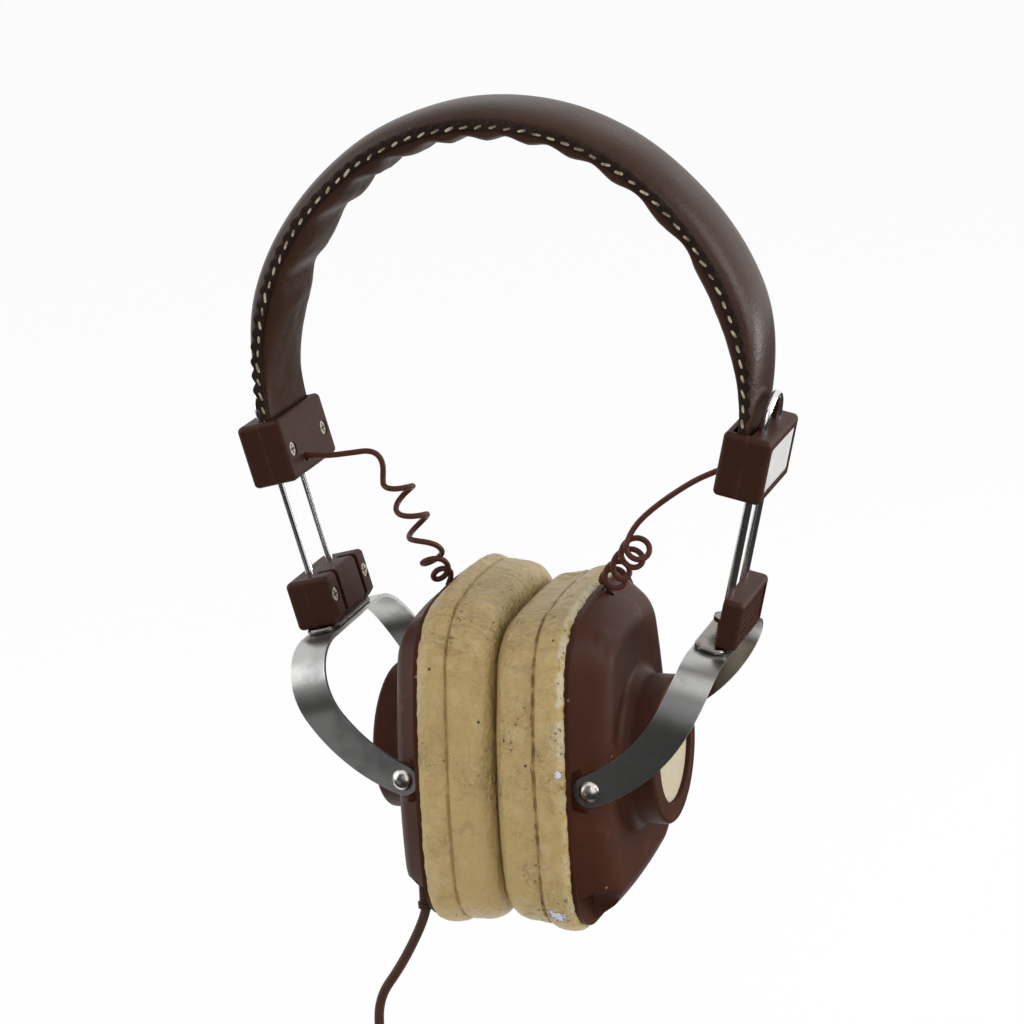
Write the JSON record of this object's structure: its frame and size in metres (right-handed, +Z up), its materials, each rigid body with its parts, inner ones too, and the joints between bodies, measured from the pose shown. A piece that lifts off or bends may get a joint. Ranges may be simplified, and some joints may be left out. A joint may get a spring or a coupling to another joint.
{
  "type": "radio headphones",
  "caption": "Worn over-ear radio headphones: padded leather headband, clamped chrome slide rods, steel strap yokes, tilting padded cups, and a cable with hank and plug.",
  "frame": {"origin": "underside of the headband pad at its crown, where the wearer's head holds the headphones", "axes": "+Z up, X from ear to ear, -Y to the wearer's front"},
  "size_m": [0.1314, 0.0694, 0.3131],
  "materials": {
    "dark_leather": "smooth and lightly worn",
    "spring_steel": "blued",
    "brown_cord": "matt",
    "dark_brown_plastic": "fine grained",
    "grey_plate": "satin",
    "steel_screws": "worn",
    "bright_chrome": "bright",
    "polished_strap": "polished with fine scratches",
    "brown_shell": "rubberised, worn",
    "cream_disc": "matt",
    "black_plastic": "moulded",
    "stamped_frame": "plated",
    "magnet": "ground",
    "clear_film": "translucent",
    "black_cloth": "woven",
    "cream_leatherette": "cracked and peeling",
    "brown_rubber": "matt",
    "plug_moulding": "moulded",
    "plug_metal": "bright"
  },
  "bodies": {
    "headband": {"headband_cover": "dark_leather", "headband_pad": "dark_leather", "headband_spring": "spring_steel", "crossover_wire": "brown_cord", "right_block_outer": "dark_brown_plastic", "right_block_inner": "dark_brown_plastic", "right_side_plate": "grey_plate", "right_block_screws": "steel_screws", "right_jumper_wire": "brown_cord", "right_jumper_coil": "brown_cord", "right_jumper_tail": "brown_cord", "left_block_outer": "dark_brown_plastic", "left_block_inner": "dark_brown_plastic", "left_side_plate": "grey_plate", "left_block_screws": "steel_screws", "left_jumper_wire": "brown_cord", "left_jumper_coil": "brown_cord", "left_jumper_tail": "brown_cord"},
    "right_slider": {"right_slide_rod": "bright_chrome", "right_slider_outer": "dark_brown_plastic", "right_swivel_washer": "bright_chrome", "right_swivel_rivet": "bright_chrome"},
    "right_yoke": {"right_yoke": "polished_strap"},
    "right_cup": {"right_cup_shell": "brown_shell", "right_cup_disc": "cream_disc", "right_baffle": "black_plastic", "right_driver_frame": "stamped_frame", "right_driver_magnet": "magnet", "right_driver_diaphragm": "clear_film", "right_ear_screen": "black_cloth", "right_ear_pad": "cream_leatherette", "right_pivot_rivets": "polished_strap"},
    "left_slider": {"left_slide_rod": "bright_chrome", "left_slider_outer": "dark_brown_plastic", "left_swivel_washer": "bright_chrome", "left_swivel_rivet": "bright_chrome", "left_slider_inner": "dark_brown_plastic", "left_slider_screws": "steel_screws"},
    "left_yoke": {"left_yoke": "polished_strap"},
    "left_cup": {"left_cup_shell": "brown_shell", "left_cup_disc": "cream_disc", "left_baffle": "black_plastic", "left_driver_frame": "stamped_frame", "left_driver_magnet": "magnet", "left_driver_diaphragm": "clear_film", "left_ear_screen": "black_cloth", "left_ear_pad": "cream_leatherette", "left_pivot_rivets": "polished_strap", "cable_boot": "brown_rubber", "main_cable": "brown_cord", "cable_hank": "brown_cord", "hank_tie": "black_cloth", "plug_lead": "brown_cord", "plug_collar": "brown_rubber", "plug_body": "plug_moulding", "plug_pin": "plug_metal"}
  },
  "joints": [
    {"name": "right_slide", "type": "slide", "parent": "headband", "child": "right_slider", "axis": [0.236, 0, 0.9718], "range_m": [-0.0006, 0.02], "deforming": ["right_ear_pad", "right_jumper_wire", "right_jumper_coil", "right_jumper_tail"]},
    {"name": "right_swivel", "type": "hinge", "parent": "right_slider", "child": "right_yoke", "pos_m": [0.05177, 0, -0.10547], "axis": [0.236, 0, 0.9718], "range_deg": [-10, 10], "deforming": ["right_ear_pad", "right_jumper_wire", "right_jumper_coil", "right_jumper_tail"]},
    {"name": "right_tilt", "type": "hinge", "parent": "right_yoke", "child": "right_cup", "pos_m": [0.0232, 0, -0.148], "axis": [0, 1, 0], "range_deg": [-12, 12], "deforming": ["right_ear_pad", "right_jumper_wire", "right_jumper_coil", "right_jumper_tail"]},
    {"name": "left_slide", "type": "slide", "parent": "headband", "child": "left_slider", "axis": [-0.236, 0, 0.9718], "range_m": [-0.0006, 0.02], "deforming": ["left_ear_pad", "left_jumper_wire", "left_jumper_coil", "left_jumper_tail"]},
    {"name": "left_swivel", "type": "hinge", "parent": "left_slider", "child": "left_yoke", "pos_m": [-0.05177, 0, -0.10547], "axis": [-0.236, 0, 0.9718], "range_deg": [-10, 10], "deforming": ["left_ear_pad", "left_jumper_wire", "left_jumper_coil", "left_jumper_tail"]},
    {"name": "left_tilt", "type": "hinge", "parent": "left_yoke", "child": "left_cup", "pos_m": [-0.0232, 0, -0.148], "axis": [0, 1, 0], "range_deg": [-12, 12], "deforming": ["left_ear_pad", "left_jumper_wire", "left_jumper_coil", "left_jumper_tail"]}
  ]
}
